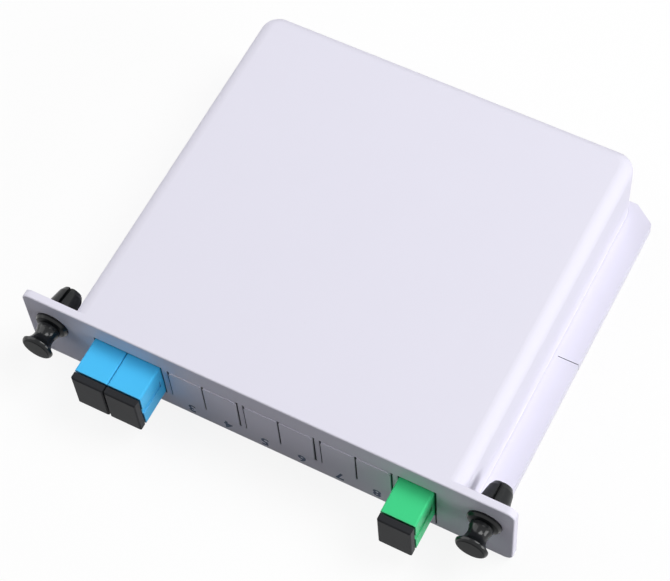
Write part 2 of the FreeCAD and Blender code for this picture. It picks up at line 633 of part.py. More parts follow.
def bottom_cover():
    """Mould the cover plate with its rails, lip, adapter rib and screw holes."""
    body = new_body("bottom_cover")
    half = "(box_width / 2 + rail_width)"
    outline = [(f"-{half}", "cover_clearance"), (half, "cover_clearance"),
               (half, "box_depth - rail_chamfer_length"),
               (f"{half} - rail_chamfer_width", "box_depth"),
               (f"-{half} + rail_chamfer_width", "box_depth"),
               (f"-{half}", "box_depth - rail_chamfer_length")]
    prism(body, "plate", "XY", [outline], "0", "cover_thickness")
    round_edges(body, "rail_corners",
                lambda edge: along(edge, Vector(0, 0, 1)) and edge.CenterOfMass.y > 1,
                "rail_corner_radius")
    slits = [rectangle(f"{side} * (box_width / 2 + rail_slit_inset)", f"{side} * ({half} + overrun)",
                       "rail_slit_distance - rail_slit_width / 2",
                       "rail_slit_distance + rail_slit_width / 2") for side in (-1, 1)]
    prism(body, "rail_slits", "XY", slits, "-overrun", "cover_thickness + overrun", cut=True)
    pocket = rectangle("-box_width / 2 + recess_inset", "box_width / 2 - recess_inset",
                       "recess_inset", "box_depth - recess_inset")
    prism(body, "recess", "XY", [pocket], "cover_thickness - recess_depth",
          "cover_thickness + overrun", cut=True)
    lip_face = "(box_width / 2 - wall - cover_clearance)"
    lip_rear = "(box_depth - wall - cover_clearance)"
    middle = f"(front_boss_distance + {REAR_BOSS}) / 2"
    lips = [rectangle(f"{side} * ({lip_face} - lip_thickness)", f"{side} * {lip_face}",
                      f"{middle} - lip_side_length / 2", f"{middle} + lip_side_length / 2")
            for side in (-1, 1)]
    lips.append(rectangle("-lip_rear_length / 2", "lip_rear_length / 2",
                          f"{lip_rear} - lip_thickness", lip_rear))
    prism(body, "lip", "XY", lips, "cover_thickness / 2", "cover_thickness + lip_height")
    prism(body, "adapter_rib", "XY",
          [rectangle(f"-{lip_face}", lip_face, COLLAR_REAR, f"{COLLAR_REAR} + adapter_rib_thickness")],
          "cover_thickness / 2", "channel_height - adapter_tall / 2 - window_clearance")
    hole = "(screw_diameter + 2 * cover_hole_clearance)"
    prism(body, "screw_holes", "XY", [(place, hole) for place in BOSSES],
          "-overrun", "cover_thickness + overrun", cut=True)
    bevel_edges(body, "countersinks",
                lambda edge: isinstance(edge.Curve, Part.Circle) and near(edge.BoundBox.ZMax, "0")
                and edge.Closed,
                f"(screw_head_diameter + 2 * screw_clearance - {hole}) / 2")
    return node(body, "bottom_cover", ("0", PANEL_BACK, "0"))


def cover_screw(name, place):
    """Make one countersunk screw that points up, its head level with the underside."""
    core = doc.addObject("Part::Cone", f"{name}_head")
    bind(core, "Radius1", "screw_head_diameter / 2")
    bind(core, "Radius2", "screw_diameter / 2")
    bind(core, "Height", "(screw_head_diameter - screw_diameter) / 2")
    shank = doc.addObject("Part::Cylinder", f"{name}_shank")
    bind(shank, "Radius", "screw_diameter / 2")
    bind(shank, "Height", "cover_thickness + screw_reach")
    slots = [block(f"{name}_slot_x", across("screw_recess_length"), across("screw_recess_width"),
                   ("-overrun", "screw_recess_depth")),
             block(f"{name}_slot_y", across("screw_recess_width"), across("screw_recess_length"),
                   ("-overrun", "screw_recess_depth"))]
    screw = hollowed(name, joined(f"{name}_body", [core, shank]), slots)
    move(screw, (place[0], place[1], "0"))
    return screw


def cover_screws():
    """Gather the four screws in one node."""
    group = doc.addObject("Part::Compound", "cover_screws")
    group.Links = [cover_screw(f"screw_{index}", place) for index, place in enumerate(BOSSES, start=1)]
    return node(group, "cover_screws", ("0", PANEL_BACK, "0"))


# ---------------------------------------------------------------- one optical channel

HALF_ADAPTER = "adapter_length / 2"
CHANNEL_Y = "(-box_depth / 2 - panel_thickness - adapter_projection + adapter_length / 2)"
CAVITY_WIDTH = "(adapter_width - 2 * adapter_side_wall)"
CAVITY_TALL = "(adapter_tall - 2 * adapter_end_wall)"
PANEL_BACK_IN_CHANNEL = "(panel_thickness + adapter_projection - adapter_length / 2)"
CAP_PLUG_WIDTH = f"({CAVITY_WIDTH} - 2 * cap_plug_side_gap)"
CAP_PLUG_TALL = "(mouth_tall - 2 * cap_plug_end_gap)"
ARM_INNER = f"({CAVITY_TALL} / 2 - arm_gap - arm_thickness)"
SHELL_WIDTH = f"({CAVITY_WIDTH} - 2 * shell_side_gap)"
SHELL_TALL = "(mouth_tall - 2 * shell_end_gap)"
FRAME_WIDTH = f"({SHELL_WIDTH} - 2 * shell_side_wall - 2 * shell_clearance)"
FRAME_TALL = f"({SHELL_TALL} - 2 * shell_end_wall - 2 * shell_clearance)"
FIBRE_BORE = "(fibre_diameter + 2 * fibre_clearance)"
FLANGE_START = "(frame_wall_start + frame_wall + flange_gap)"
SPRING_START = f"({FLANGE_START} + flange_length + spring_gap)"
COLLAR_START = f"({SPRING_START} + spring_length + spring_gap)"
FRAME_END = "(frame_start + frame_length)"
COLLAR_END = f"({FRAME_END} + collar_body_length)"


def adapter_body(name, place):
    """Make the outer housing of an adapter, open at both mouths."""
    body = new_body(name)
    prism(body, "outside", "XZ", [centred("adapter_width", "adapter_tall")],
          f"-{HALF_ADAPTER}", HALF_ADAPTER)
    round_edges(body, "long_edges", lambda edge: along(edge, Vector(0, 1, 0)), "adapter_edge_radius")
    prism(body, "stop_collar", "XZ", [centred("adapter_width", "adapter_tall + 2 * collar_step")],
          PANEL_BACK_IN_CHANNEL, f"{PANEL_BACK_IN_CHANNEL} + collar_length")
    prism(body, "mouths", "XZ", [centred(CAVITY_WIDTH, "mouth_tall")],
          f"-{HALF_ADAPTER} - overrun", f"{HALF_ADAPTER} + overrun", cut=True)
    prism(body, "arm_space", "XZ", [centred(CAVITY_WIDTH, CAVITY_TALL)],
          f"-{HALF_ADAPTER} + mouth_lip", f"{HALF_ADAPTER} - mouth_lip", cut=True)
    prism(body, "key_groove", "XY",
          [rectangle("adapter_width / 2 - key_groove_depth", "adapter_width / 2 + overrun",
                     f"-{HALF_ADAPTER} - overrun", f"-{HALF_ADAPTER} + key_groove_length")],
          "-key_groove_width / 2", "key_groove_width / 2", cut=True)
    return node(body, name, place)


def sleeve_holder(name, place):
    """Make the plate with the sleeve's tube and four latch arms with hooks."""
    plate = block(f"{name}_plate", across(f"{CAVITY_WIDTH} - 2 * holder_clearance"),
                  across("holder_plate"), across(f"{CAVITY_TALL} - 2 * holder_clearance"))
    pieces = [plate, rod(f"{name}_tube", across("2 * holder_tube_reach"), "holder_tube_diameter")]
    for end in (-1, 1):
        for side in (-1, 1):
            arm = f"{name}_arm_{len(pieces)}"
            span_y = sorted((f"{end} * holder_plate / 4", f"{end} * arm_reach"), key=number)
            outer = f"{side} * ({ARM_INNER} + arm_thickness)"
            span_z = sorted((f"{side} * {ARM_INNER}", outer), key=number)
            pieces.append(block(arm, across("arm_width"), span_y, span_z))
            hook_y = sorted((f"{end} * (arm_reach - hook_length)", f"{end} * arm_reach"), key=number)
            hook_z = sorted((f"{side} * ({ARM_INNER} - hook_drop)", outer), key=number)
            pieces.append(block(f"{arm}_hook", across("arm_width"), hook_y, hook_z))
    bores = [rod(f"{name}_bore", across("2 * (holder_tube_reach - holder_lip)"),
                 "sleeve_diameter + 2 * sleeve_clearance"),
             rod(f"{name}_ends", across("2 * (holder_tube_reach + overrun)"),
                 "ferrule_diameter + 2 * ferrule_wall_gap")]
    return node(hollowed(name, joined(f"{name}_solid", pieces), bores), name, place)


def split_sleeve(name, place):
    """Make the slit ceramic sleeve that lines up two ferrules."""
    tube = rod(f"{name}_tube", across("sleeve_length"), "sleeve_diameter")
    bore = rod(f"{name}_bore", across("sleeve_length + 2 * overrun"),
               "ferrule_diameter + 2 * ferrule_running_gap")
    slit = block(f"{name}_slit", across("sleeve_slit"), across("sleeve_length + 2 * overrun"),
                 ("0", "sleeve_diameter"))
    return node(hollowed(name, tube, [bore, slit]), name, place)


def dust_cap(name, place):
    """Make a cap: an outer block and a hollow plug that enters the mouth."""
    body = new_body(name)
    mouth = f"(-{HALF_ADAPTER} - cap_gap)"
    outline = centred("adapter_width - 2 * cap_side_inset", "adapter_tall - 2 * cap_end_inset")
    prism(body, "outer_block", "XZ", [outline], f"{mouth} - cap_length", mouth)
    bevel_edges(body, "front_rim",
                lambda edge: near(edge.BoundBox.YMax, f"{mouth} - cap_length"), "cap_chamfer")
    prism(body, "plug", "XZ", [centred(CAP_PLUG_WIDTH, CAP_PLUG_TALL)],
          f"{mouth} - cap_length / 2", f"{mouth} + cap_gap + cap_plug_length")
    prism(body, "tube_space", "XZ", [(("0", "0"), "holder_tube_diameter + 2 * cap_bore_gap")],
          f"{mouth} - cap_length / 4", f"{mouth} + cap_gap + cap_plug_length + overrun", cut=True)
    return node(body, name, place)


def plug_shell(name, place):
    """Make the outer housing of a plug, which slides over its frame."""
    rear = "shell_start + shell_length"
    outside = block(f"{name}_outside", across(SHELL_WIDTH), ("shell_start", rear),
                    across(SHELL_TALL))
    inside = block(f"{name}_inside", across(f"{FRAME_WIDTH} + 2 * shell_clearance"),
                   ("shell_start - overrun", f"{rear} + overrun"),
                   across(f"{FRAME_TALL} + 2 * shell_clearance"))
    windows_span = ("arm_reach - hook_length - window_length / 4",
                    "arm_reach - hook_length - window_length / 4 + window_length")
    hooks = block(f"{name}_windows", across("arm_width + 2 * shell_clearance"), windows_span,
                  across(f"{SHELL_TALL} + 2 * overrun"))
    return node(hollowed(name, outside, [inside, hooks]), name, place)


def plug_frame(name, place):
    """Make the inner body of a plug with its two chambers and the wall between them."""
    outside = block(f"{name}_outside", across(FRAME_WIDTH), ("frame_start", FRAME_END),
                    across(FRAME_TALL))
    chambers = [rod(f"{name}_front", ("frame_start - overrun", "frame_wall_start"), "frame_front_bore"),
                rod(f"{name}_wall", ("frame_start", FRAME_END),
                    "ferrule_diameter + 2 * ferrule_wall_gap"),
                rod(f"{name}_rear", ("frame_wall_start + frame_wall", f"{FRAME_END} + overrun"),
                    "frame_rear_bore")]
    return node(hollowed(name, outside, chambers), name, place)


def ferrule(name, place):
    """Make the ceramic ferrule with its flange and stem, bored for the fibre."""
    pieces = [rod(f"{name}_ceramic", ("ferrule_tip_gap", f"{FLANGE_START} + flange_length / 2"),
                  "ferrule_diameter"),
              rod(f"{name}_flange", (FLANGE_START, f"{FLANGE_START} + flange_length"),
                  "frame_rear_bore - 2 * flange_clearance"),
              rod(f"{name}_stem", (FLANGE_START, f"{FLANGE_START} + flange_length + stem_length"),
                  "stem_diameter")]
    bore = rod(f"{name}_bore",
               ("fibre_start", f"{FLANGE_START} + flange_length + stem_length + overrun"), FIBRE_BORE)
    return node(hollowed(name, joined(f"{name}_solid", pieces), [bore]), name, place)


def ferrule_spring(name, place):
    """Wind the spring that presses the ferrule forward, as tilted half turns that meet smoothly."""
    wire = sizes.spring_wire
    radius = sizes.spring_diameter / 2
    half_turns = round(2 * sizes.spring_turns)
    rise = (sizes.spring_length - wire) / half_turns
    arcs = []
    for index in range(half_turns):
        side = (-1) ** index
        start = Vector(side * radius, index * rise, 0)
        middle = Vector(0, (index + 0.5) * rise, side * math.hypot(radius, rise / 2))
        end = Vector(-side * radius, (index + 1) * rise, 0)
        arcs.append(Part.Arc(start, middle, end).toShape())
    section = Part.Wire([Part.makeCircle(wire / 2, Vector(radius, 0, 0), Vector(0, 0, 1))])
    item = doc.addObject("Part::Feature", name)
    item.Shape = Part.Wire(arcs).makePipeShell([section], True, False)
    x, y, z = place
    return node(item, name, (x, f"{y} + {SPRING_START} + spring_wire / 2", z))


def plug_collar(name, place):
    """Make the stop ring behind the spring, with the stem that the boot grips."""
    pieces = [rod(f"{name}_spigot", (COLLAR_START, f"{FRAME_END} + collar_body_length / 2"),
                  "frame_rear_bore - 2 * collar_fit"),
              rod(f"{name}_body", (FRAME_END, COLLAR_END), "collar_body_diameter"),
              rod(f"{name}_stem", (FRAME_END, f"{COLLAR_END} + collar_stem_length"),
                  "collar_stem_diameter")]
    bore = rod(f"{name}_bore",
               (f"{COLLAR_START} - overrun", f"{COLLAR_END} + collar_stem_length + overrun"),
               "stem_diameter + 2 * stem_clearance")
    return node(hollowed(name, joined(f"{name}_solid", pieces), [bore]), name, place)


def plug_boot(name, place):
    """Make the soft boot behind a plug, tapered towards the fibre."""
    pieces = [rod(f"{name}_grip", (COLLAR_END, f"{COLLAR_END} + boot_grip"), "boot_diameter"),
              taper(f"{name}_tail", (f"{COLLAR_END} + boot_grip", f"{COLLAR_END} + boot_length"),
                    ("boot_diameter", "boot_tip_diameter"))]
    bores = [rod(f"{name}_socket",
                 (f"{COLLAR_END} - overrun", f"{COLLAR_END} + collar_stem_length + boot_fit"),
                 "collar_stem_diameter + 2 * boot_fit"),
             rod(f"{name}_bore", (f"{COLLAR_END} - overrun", f"{COLLAR_END} + boot_length + overrun"),
                 FIBRE_BORE)]
    return node(hollowed(name, joined(f"{name}_solid", pieces), bores), name, place)


def channel(name, x):
    """Make every piece on one optical axis, from the dust cap to the boot."""
    place = (x, CHANNEL_Y, "channel_height")
    for make in (adapter_body, sleeve_holder, split_sleeve, dust_cap, plug_shell, plug_frame,
                 ferrule, ferrule_spring, plug_collar, plug_boot):
        make(f"{make.__name__}_{name}", place)


# ---------------------------------------------------------------- fibres and splitter module

def smooth_path(stops):
    """Join straight runs by tangent arcs.

    Each stop is a point and the radius of the bend there; the first and last have none.
    """
    edges = []
    at = stops[0][0]
    for (before, _), (corner, radius), (after, _) in zip(stops, stops[1:], stops[2:]):
        back = (before - corner).normalize()
        ahead = (after - corner).normalize()
        half_turn = (math.pi - back.getAngle(ahead)) / 2
        reach = radius * math.tan(half_turn)
        start = corner + back * reach
        end = corner + ahead * reach
        inward = (back + ahead).normalize()
        middle = corner + inward * (radius / math.cos(half_turn) - radius)
        if (start - at).Length > 0.001:
            edges.append(Part.LineSegment(at, start).toShape())
        edges.append(Part.Arc(start, middle, end).toShape())
        at = end
    edges.append(Part.LineSegment(at, stops[-1][0]).toShape())
    return Part.Wire(edges)


def coil_stops(start_x, toward, rear, depth, exit_shift, levels, module_y, module_z):
    """Return the stops of a fibre from its plug, round the coil and into the module.

    toward is the direction along X in which the fibre leaves its bend at the rear. exit_shift
    moves its last run forward, clear of the run before.
    """
    front = rear - depth
    bend = depth / 2
    straight = number(f"{HALF_CAVITY} - coil_side_gap - coil_depth / 2")
    side = straight + bend
    slope = straight - sizes.slope_inset
    entry_end = start_x + toward * (sizes.entry_radius + sizes.slope_gap)
    exit_front = front - exit_shift
    last_bend = (module_y - exit_front) / 2
    boot_face = sizes.module_length / 2 + sizes.module_boot_length
    last_side = boot_face + sizes.turn_gap + last_bend
    gentle = sizes.slope_radius
    boot_start = number(f"{CHANNEL_Y} - ({PANEL_BACK}) + fibre_start")
    first, second, third = levels
    route = [(start_x, boot_start, first, 0), (start_x, rear, first, sizes.entry_radius)]
    route.append((entry_end, rear, first, gentle))
    route.append((toward * slope, rear, second, gentle))
    for turn_x, turn_y in ((side, rear), (side, front), (-side, front), (-side, rear)):
        route.append((toward * turn_x, turn_y, second, bend))
    route.append((-toward * slope, rear, second, gentle))
    route.append((toward * slope, rear, third, gentle))
    route.append((toward * side, rear, third, bend))
    route.append((toward * side, exit_front, third, bend))
    route.append((toward * slope, exit_front, third, gentle))
    route.append((-toward * slope, exit_front, module_z, gentle))
    route.append((-toward * last_side, exit_front, module_z, last_bend))
    route.append((-toward * last_side, module_y, module_z, last_bend))
    route.append((-toward * (boot_face - sizes.module_entry), module_y, module_z, 0))
    return [(Vector(x, y, z), radius) for x, y, z, radius in route]


def fibre(name, stops):
    """Sweep a buffered fibre along its route and compare its volume with section times length."""
    path = smooth_path(stops)
    first_run = path.Edges[0]
    direction = first_run.tangentAt(first_run.FirstParameter)
    section = Part.Wire([Part.makeCircle(sizes.fibre_diameter / 2, stops[0][0], direction)])
    tube = path.makePipeShell([section], True, False)
    expected = math.pi * sizes.fibre_diameter ** 2 / 4 * path.Length
    radii = sorted(edge.Curve.Radius for edge in path.Edges if isinstance(edge.Curve, Part.Circle))
    print(f"{name}: length {path.Length:.1f}, volume ratio {tube.Volume / expected:.4f}, "
          f"smallest bends {[round(radius, 1) for radius in radii[:3]]}")
    item = doc.addObject("Part::Feature", name)
    item.Shape = tube
    return node(item, name, ("0", PANEL_BACK, "0"))


def fibres(channels):
    """Lead the three fibres round the coil, the outputs one way and the input the other."""
    rear = number("box_depth - wall - coil_rear_gap")
    lane = sizes.coil_lane
    start = sizes.channel_height
    module_y = number(MODULE_Y)
    module_z = number(MODULE_Z)
    rising = [start + turns * sizes.coil_step for turns in range(3)]
    falling = [start - turns * sizes.input_coil_step for turns in range(3)]
    fibre("fibre_output_1", coil_stops(number(channels["output_1"]), 1, rear, sizes.coil_depth, 0,
                                       rising, module_y + lane / 2, module_z))
    fibre("fibre_output_2", coil_stops(number(channels["output_2"]), 1, rear - lane,
                                       sizes.coil_depth - 2 * lane, 0,
                                       rising, module_y - lane / 2, module_z))
    fibre("fibre_input", coil_stops(number(channels["input"]), -1, rear - 2 * lane,
                                    sizes.input_coil_depth, lane, falling, module_y, module_z))


def splitter_module():
    """Make the steel body of the splitter, its two end boots and the tape that holds it."""
    place = ("0", f"{PANEL_BACK} + {MODULE_Y}", MODULE_Z)
    body = new_body("splitter_module")
    prism(body, "steel_body", "YZ", [centred("module_width", "module_tall")],
          "-module_length / 2", "module_length / 2")
    round_edges(body, "long_edges", lambda edge: along(edge, Vector(1, 0, 0)), "module_edge_radius")
    node(body, "splitter_module", place)
    for name, side, lanes in (("output", -1, (-1, 1)), ("input", 1, (0,))):
        boot = new_body(f"module_boot_{name}")
        face = f"{side} * module_length / 2"
        end = f"{side} * (module_length / 2 + module_boot_length)"
        low, high = sorted((face, end), key=number)
        prism(boot, "rubber", "YZ", [centred("module_boot_width", "module_boot_tall")], low, high)
        round_edges(boot, "long_edges", lambda edge: along(edge, Vector(1, 0, 0)),
                    "module_edge_radius")
        prism(boot, "fibre_holes", "YZ",
              [((f"{place_in_lane} * coil_lane / 2", "0"), FIBRE_BORE) for place_in_lane in lanes],
              f"{low} - overrun", f"{high} + overrun", cut=True)
        node(boot, f"module_boot_{name}", place)
    pad = block("module_pad", across("pad_length"), across("module_width - 2 * pad_inset"),
                ("0", "pad_thickness"))
    node(pad, "module_pad", ("-pad_length / 2",
                             f"{PANEL_BACK} + {MODULE_Y} - module_width / 2 + pad_inset",
                             f"{MODULE_Z} + module_tall / 2"))


# ---------------------------------------------------------------- latches

def grommet(name, place):
    """Turn the slit grommet: a domed flange in front of the panel and four prongs behind it."""
    body = new_body(name)
    front = "(-panel_thickness - grommet_front)"
    bore = "(pin_diameter / 2 + pin_running_gap)"
    neck = "grommet_neck_diameter / 2"
    profile = [
        (bore, front), ("grommet_front_diameter / 2", front),
        ("grommet_crown_diameter / 2", "-panel_thickness - grommet_crown"),
        ("grommet_flange_diameter / 2", "-panel_thickness - grommet_rim"),
        ("grommet_flange_diameter / 2", "-panel_thickness"), (neck, "-panel_thickness"),
        (neck, "grommet_neck_length"), ("grommet_bulge_diameter / 2", "grommet_bulge_start"),
        ("grommet_shoulder_diameter / 2", "grommet_shoulder"),
        ("grommet_tip_diameter / 2", "grommet_reach"), (bore, "grommet_reach"),
    ]
    turn(body, "outside", [profile])
    slits = [rectangle("-prong_slit / 2", "prong_slit / 2", "-grommet_flange_diameter",
                       "grommet_flange_diameter"),
             rectangle("-grommet_flange_diameter", "grommet_flange_diameter", "-prong_slit / 2",
                       "prong_slit / 2")]
    for label, slit in zip(("upright_slit", "level_slit"), slits):
        prism(body, label, "XZ", [slit], "grommet_neck_length / 2", "grommet_reach + overrun", cut=True)
    return node(body, name, place)


def plunger(name, place):
    """Turn the waisted knob and the pin that spreads the prongs."""
    body = new_body(name)
    face = "(-panel_thickness - knob_reach)"
    waist = "(-panel_thickness - waist_distance)"
    foot = "(-panel_thickness - grommet_front - knob_gap)"
    tip = "(grommet_reach + pin_tip_reach)"
    profile = [
        ("0", face), ("knob_diameter / 2", face), ("knob_diameter / 2", waist),
        ("knob_base_diameter / 2", waist), ("knob_base_diameter / 2", foot),
        ("pin_diameter / 2", foot), ("pin_diameter / 2", tip), ("0", tip),
    ]
    turn(body, "outside", [profile])
    turn(body, "waist", [(("waist_diameter / 2 + waist_radius", waist), "2 * waist_radius")], cut=True)
    round_edges(body, "pin_tip",
                lambda edge: isinstance(edge.Curve, Part.Circle) and near(edge.BoundBox.YMin, tip),
                "pin_tip_radius")
    round_edges(body, "face_rim",
                lambda edge: isinstance(edge.Curve, Part.Circle) and near(edge.BoundBox.YMax, face),
                "knob_edge_radius")
    return node(body, name, place)


# ---------------------------------------------------------------- build, check and export

def main():
    """Build every piece, check it and write its STEP file."""
    housing()
    bottom_cover()
    cover_screws()
    channels = {
        "output_1": f"{OUTPUTS_X} - {OUTPUT_PITCH} / 2",
        "output_2": f"{OUTPUTS_X} + {OUTPUT_PITCH} / 2",
        "input": INPUT_X,
    }
    for name, x in channels.items():
        channel(name, x)
    splitter_module()
    fibres(channels)
    for name, side in (("left", -1), ("right", 1)):
        place = (f"{side} * {LATCH_X}", PANEL_BACK, "latch_height")
        grommet(f"grommet_{name}", place)
        plunger(f"plunger_{name}", place)
    doc.recompute()
    for item in doc.Objects:
        if "Invalid" in item.State or "Error" in item.State:
            raise RuntimeError(f"{item.Label} did not compute: {item.State}")
    os.makedirs("parts", exist_ok=True)
    for item in nodes:
        shape = item.Shape
        if shape.isNull() or not shape.isValid():
            raise RuntimeError(f"{item.Label} has no valid shape")
        shape.exportStep(f"parts/{item.Label}.step")
        print(f"{item.Label}: {len(shape.Solids)} solid, {shape.Volume:.1f} mm3")


main()
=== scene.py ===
"""Studio picture of a plug-in fibre splitter cassette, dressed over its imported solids.

Lengths are metres in the frame of the solids: X runs along the front panel towards the input
adapter, Y from the panel to the rear wall and Z up from the underside of the bottom cover.
"""

import logging
import math
from abc import ABC, abstractmethod
from dataclasses import dataclass, field
from enum import Enum
from typing import Any, Mapping, Sequence

import bpy
import numpy as np
from mathutils import Matrix, Vector


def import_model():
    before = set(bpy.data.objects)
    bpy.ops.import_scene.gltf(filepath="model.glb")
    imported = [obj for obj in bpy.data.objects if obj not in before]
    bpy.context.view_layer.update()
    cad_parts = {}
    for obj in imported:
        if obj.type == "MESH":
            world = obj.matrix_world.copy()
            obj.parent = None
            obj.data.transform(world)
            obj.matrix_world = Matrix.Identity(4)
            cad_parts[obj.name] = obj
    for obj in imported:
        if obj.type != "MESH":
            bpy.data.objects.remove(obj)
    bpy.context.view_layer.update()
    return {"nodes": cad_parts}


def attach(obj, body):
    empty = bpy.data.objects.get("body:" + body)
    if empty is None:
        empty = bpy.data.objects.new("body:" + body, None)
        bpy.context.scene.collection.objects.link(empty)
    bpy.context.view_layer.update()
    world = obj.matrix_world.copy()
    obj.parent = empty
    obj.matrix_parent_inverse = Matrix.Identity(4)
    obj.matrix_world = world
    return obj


LOG = logging.getLogger("splitter_cassette")
MM = 0.001
CASSETTE = "cassette"

Colour = tuple[float, float, float]
Triple = tuple[float, float, float]
Span = tuple[float, float]

WHITE: Colour = (1.0, 1.0, 1.0)

# A Mix node repeats its sockets' names for each kind of value, so its colours go by number.
MIX_SHARE, MIX_FIRST, MIX_SECOND, MIX_RESULT = 0, 6, 7, 2
OPENNESS_SAMPLES = 8
EDGE_SAMPLES = 6
# Cosines between which a mask fades: rounded normal and face, and surface and axis.
EDGE_LIKENESS: Span = (0.75, 0.99)
FACING_LIKENESS: Span = (0.80, 0.97)


# ---------------------------------------------------------------- shader arithmetic


@dataclass(frozen=True)
class Signal:
    """What a node puts out; where it is a number, Python arithmetic works on it."""

    graph: "Graph"
    socket: bpy.types.NodeSocket

    def _with(self, operation: str, first: "Signal | float", second: "Signal | float") -> "Signal":
        """Return the result of a Math node on two values."""
        node = self.graph.add("ShaderNodeMath", {"operation": operation}, {0: first, 1: second})
        return self.graph.signal(node, "Value")

    def __add__(self, other: "Signal | float") -> "Signal":
        """Return self + other."""
        return self._with("ADD", self, other)

    def __radd__(self, other: float) -> "Signal":
        """Return other + self."""
        return self._with("ADD", other, self)

    def __sub__(self, other: "Signal | float") -> "Signal":
        """Return self - other."""
        return self._with("SUBTRACT", self, other)

    def __rsub__(self, other: float) -> "Signal":
        """Return other - self."""
        return self._with("SUBTRACT", other, self)

    def __mul__(self, other: "Signal | float") -> "Signal":
        """Return self * other."""
        return self._with("MULTIPLY", self, other)

    def __rmul__(self, other: float) -> "Signal":
        """Return other * self."""
        return self._with("MULTIPLY", other, self)

    def __gt__(self, other: "Signal | float") -> "Signal":
        """Return 1 where self is greater, and 0 elsewhere."""
        return self._with("GREATER_THAN", self, other)

    def __lt__(self, other: "Signal | float") -> "Signal":
        """Return 1 where self is less, and 0 elsewhere."""
        return self._with("LESS_THAN", self, other)

    def ramp(self, low: float, high: float) -> "Signal":
        """Return a smooth step from 0 at low to 1 at high."""
        node = self.graph.add("ShaderNodeMapRange", {"interpolation_type": "SMOOTHSTEP"},
                              {"Value": self, "From Min": low, "From Max": high})
        return self.graph.signal(node, "Result")


class Graph:
    """The node tree of one material or world."""

    def __init__(self, owner: bpy.types.Material | bpy.types.World) -> None:
        """Start an empty tree on its owner."""
        owner.use_nodes = True
        self.tree = owner.node_tree
        self.tree.nodes.clear()

    def add(self, kind: str, settings: Mapping[str, Any] | None = None,
            inputs: Mapping[str | int, Any] | None = None) -> bpy.types.Node:
        """Add a node, set its properties first and then its sockets.

        Args:
            kind: Node type, such as ShaderNodeMath.
            settings: Node properties by name.
            inputs: Links or constants by socket name or number.

        Returns:
            The new node.
        """
        node = self.tree.nodes.new(kind)
        for name, value in (settings or {}).items():
            setattr(node, name, value)
        for key, value in (inputs or {}).items():
            socket = node.inputs[key]
            if isinstance(value, Signal):
                self.tree.links.new(value.socket, socket)
            elif socket.type == "RGBA":
                socket.default_value = (*value, 1.0)
            else:
                socket.default_value = value
        return node

    def signal(self, node: bpy.types.Node, output: str) -> Signal:
        """Return a node's output as a signal."""
        return Signal(self, node.outputs[output])

    def place(self) -> Signal:
        """Return the object's own coordinates, in metres."""
        return self.signal(self.add("ShaderNodeTexCoord"), "Object")

    def stretched(self, scale: Triple) -> Signal:
        """Return the object's coordinates multiplied along each axis."""
        node = self.add("ShaderNodeMapping", None, {"Vector": self.place(), "Scale": scale})
        return self.signal(node, "Vector")

    def noise(self, feature: float, detail: float = 2.0, vector: Signal | None = None) -> Signal:
        """Return cloudy noise from 0 to 1 whose features have about the given size."""
        node = self.add("ShaderNodeTexNoise", None,
                        {"Vector": vector or self.place(), "Scale": 1 / feature, "Detail": detail})
        return self.signal(node, "Fac")

    def cells(self, feature: float) -> tuple[Signal, Signal]:
        """Return the distance to scattered points, in cell sizes, and a random number for each."""
        node = self.add("ShaderNodeTexVoronoi", None,
                        {"Vector": self.place(), "Scale": 1 / feature})
        parted = self.add("ShaderNodeSeparateColor", None, {"Color": self.signal(node, "Color")})
        return self.signal(node, "Distance"), self.signal(parted, "Red")

    def blend(self, share: Signal, first: Colour | Signal, second: Colour | Signal) -> Signal:
        """Return the first colour where share is 0 and the second where it is 1."""
        node = self.add("ShaderNodeMix", {"data_type": "RGBA"},
                        {MIX_SHARE: share, MIX_FIRST: first, MIX_SECOND: second})
        return Signal(self, node.outputs[MIX_RESULT])

    def relief(self, height: Signal, depth: float, base: Signal | None = None) -> Signal:
        """Return a normal bumped by a height from 0 to 1 that stands for the given depth."""
        inputs: dict[str | int, Any] = {"Height": height, "Distance": depth}
        if base is not None:
            inputs["Normal"] = base
        return self.signal(self.add("ShaderNodeBump", None, inputs), "Normal")

    def openness(self, reach: float) -> Signal:
        """Return 1 on a free face and near 0 deep in a gap that is narrower than the reach."""
        node = self.add("ShaderNodeAmbientOcclusion", {"samples": OPENNESS_SAMPLES},
                        {"Distance": reach})
        return self.signal(node, "AO")

    def soft_edges(self, radius: float) -> Signal:
        """Return a normal that rounds sharp edges over the given radius."""
        node = self.add("ShaderNodeBevel", {"samples": EDGE_SAMPLES}, {"Radius": radius})
        return self.signal(node, "Normal")

    def likeness(self, first: Signal, second: Signal | Triple) -> Signal:
        """Return the cosine of the angle between two directions."""
        node = self.add("ShaderNodeVectorMath", {"operation": "DOT_PRODUCT"}, {0: first, 1: second})
        return self.signal(node, "Value")

    def edges(self, radius: float) -> Signal:
        """Return 1 on an edge and 0 further from it than the radius."""
        surface = self.signal(self.add("ShaderNodeNewGeometry"), "Normal")
        return 1 - self.likeness(self.soft_edges(radius), surface).ramp(*EDGE_LIKENESS)

    def facing(self, axis: Triple) -> Signal:
        """Return 1 where the surface faces along the object's axis and 0 where it leans away."""
        surface = self.signal(self.add("ShaderNodeTexCoord"), "Normal")
        return self.likeness(surface, axis).ramp(*FACING_LIKENESS)

    def seen(self) -> Signal:
        """Return 1 for rays from the lens, from mirrors and through glass, and 0 for others."""
        path = self.add("ShaderNodeLightPath")
        return (self.signal(path, "Is Camera Ray") + self.signal(path, "Is Glossy Ray")
                + self.signal(path, "Is Transmission Ray")).ramp(0.0, 1.0)

    def shader(self, kind: str, inputs: Mapping[str | int, Any]) -> Signal:
        """Add a shader node of the given type and return its output."""
        return Signal(self, self.add(kind, None, inputs).outputs[0])

    def show(self, kind: str, shader: Signal) -> None:
        """Join a shader to an output node of the given type."""
        self.add(kind, None, {"Surface": shader})


